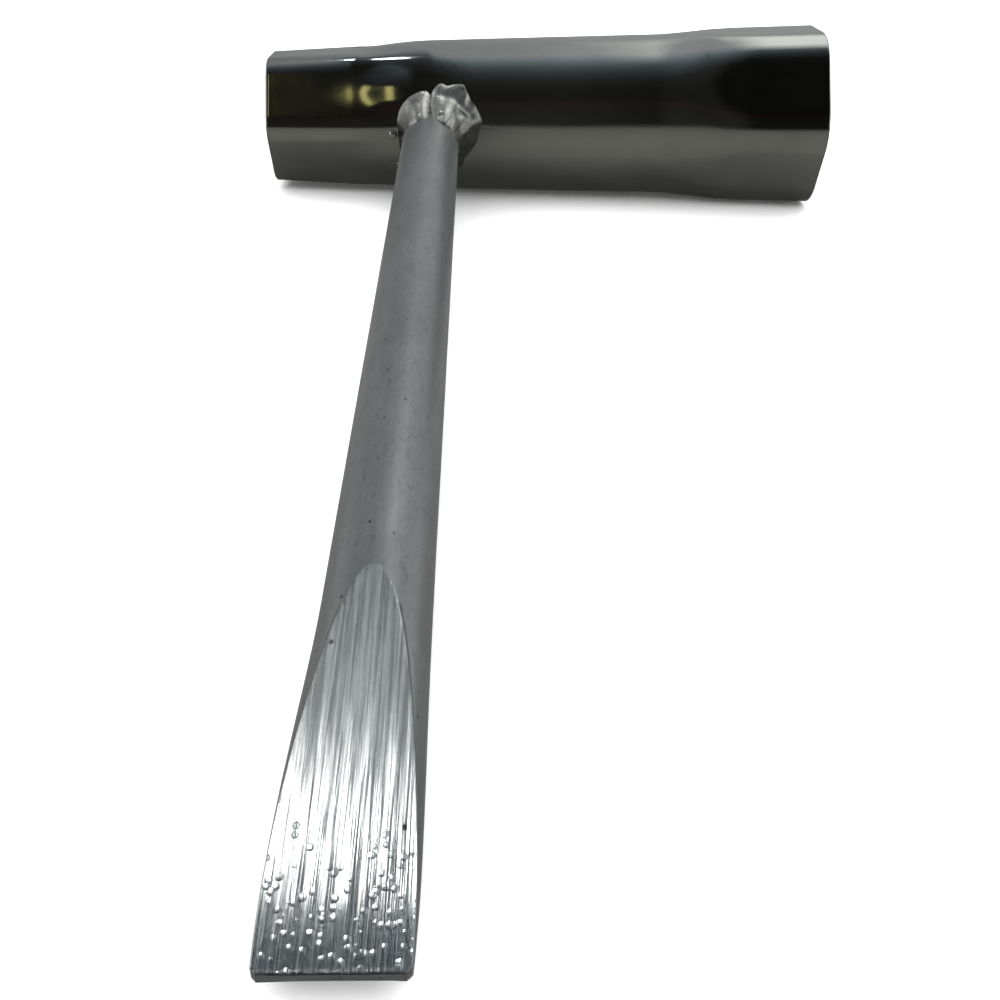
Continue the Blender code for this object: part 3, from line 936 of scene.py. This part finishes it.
def room_ramp(graph, turn):
    ramp = graph.node("ShaderNodeValToRGB", {"Fac": graph.ranged(turn, 0.0, math.pi, 0.0, 1.0)})
    stops = ramp.color_ramp.elements
    while len(stops) < len(ROOM):
        stops.new(1.0)
    for stop, (degrees, brightness, tint) in zip(stops, ROOM):
        stop.position = degrees / 180
        stop.color = (*(brightness * t for t in tint), 1)
    return ramp.outputs["Color"]


def within(graph, value, low, high, soft):
    """1 between low and high, falling to 0 over the soft edges outside."""
    rise = graph.ranged(value, low - soft, low, 0.0, 1.0)
    return graph.math("MULTIPLY", rise, graph.ranged(value, high, high + soft, 1.0, 0.0))


def make_world():
    """The room, by how far a direction goes sideways and how far it turns over from behind."""
    world = bpy.data.worlds.new("studio")
    bpy.context.scene.world = world
    world.use_nodes = True
    graph = Graph(world.node_tree)
    towards = graph.node("ShaderNodeTexCoord").outputs["Generated"]
    parts = graph.node("ShaderNodeSeparateXYZ", {0: towards}).outputs
    sideways = parts["X"]
    turn = graph.math("ARCTAN2", graph.math("MAXIMUM", parts["Z"], 0.0), parts["Y"])
    dim = graph.math(
        "MULTIPLY",
        graph.ranged(sideways, *DIM_LEFT, 0.0, 1.0),
        graph.ranged(sideways, *DIM_RIGHT, 1.0, 0.0),
    )
    dim = graph.math("MULTIPLY", dim, graph.ranged(turn, *DIM_TURNS, DIM_TURN, 0.0))
    room = room_ramp(graph, graph.math("ADD", turn, dim))
    dark = graph.math(
        "MULTIPLY",
        graph.ranged(sideways, *DARK_SIDE, 0.0, DARKENING),
        graph.ranged(turn, *DARK_TURNS, 0.0, 1.0),
    )
    brightness = graph.ranged(sideways, *BRIGHTENING[0], *BRIGHTENING[1])
    brightness = graph.math("MULTIPLY", brightness, graph.math("SUBTRACT", 1.0, dark))
    colour = graph.vector_math("SCALE", {0: room, "Scale": brightness})
    for reach, degrees, soft, brightness, tint in PATCHES:
        turns = [math.radians(d) for d in degrees]
        share = graph.math(
            "MULTIPLY",
            within(graph, sideways, *reach, soft[0]),
            within(graph, turn, *turns, math.radians(soft[1])),
        )
        light = graph.vector_math("SCALE", {0: [brightness * t for t in tint], "Scale": share})
        colour = graph.vector_math("ADD", {0: colour, 1: light})
    background = world.node_tree.nodes["Background"]
    world.node_tree.links.new(colour, background.inputs["Color"])


# Overhead light, placed and aimed in the tool's frame

OVERHEAD_PLACE = (0.0, -0.10, 1.35)
OVERHEAD_AIM = (0.0, -0.05, 0.0)
OVERHEAD_SIDE = 3.4
OVERHEAD_ENERGY = 93.0


def make_light():
    light = bpy.data.lights.new("overhead", "AREA")
    light.size = OVERHEAD_SIDE
    light.energy = OVERHEAD_ENERGY
    holder = bpy.data.objects.new("overhead", light)
    bpy.context.scene.collection.objects.link(holder)
    direction = Vector(OVERHEAD_AIM) - Vector(OVERHEAD_PLACE)
    turn = direction.to_track_quat("-Z", "Y").to_matrix().to_4x4()
    holder.matrix_world = TOOL @ Matrix.Translation(OVERHEAD_PLACE) @ turn
    holder.visible_glossy = False
    holder.visible_camera = False


# Camera: close to the blade tip, looking up the shank

CAMERA_PLACE = (0.00781, -0.17822, 0.05328)
CAMERA_TOWARDS = (0.0090, 0.8248, -0.5654)
CAMERA_LENS = 43.2
CAMERA_SENSOR = 36.0
CAMERA_NEAR = 0.005


def make_camera():
    camera = bpy.data.cameras.new("camera")
    camera.lens = CAMERA_LENS
    camera.sensor_width = CAMERA_SENSOR
    camera.clip_start = CAMERA_NEAR
    holder = bpy.data.objects.new("camera", camera)
    bpy.context.scene.collection.objects.link(holder)
    turn = Vector(CAMERA_TOWARDS).to_track_quat("-Z", "Y").to_matrix().to_4x4()
    holder.matrix_world = TOOL @ Matrix.Translation(CAMERA_PLACE) @ turn
    bpy.context.scene.camera = holder
    bpy.context.scene.view_settings.view_transform = "Standard"


make_tube(plated_tube_steel())
make_shank(satin_bar_steel(), ground_blade_steel())
make_weld(weld_steel("weld_bead_steel", True))
make_spatter(weld_steel("spatter_steel", False))
make_floors()
make_world()
make_light()
make_camera()
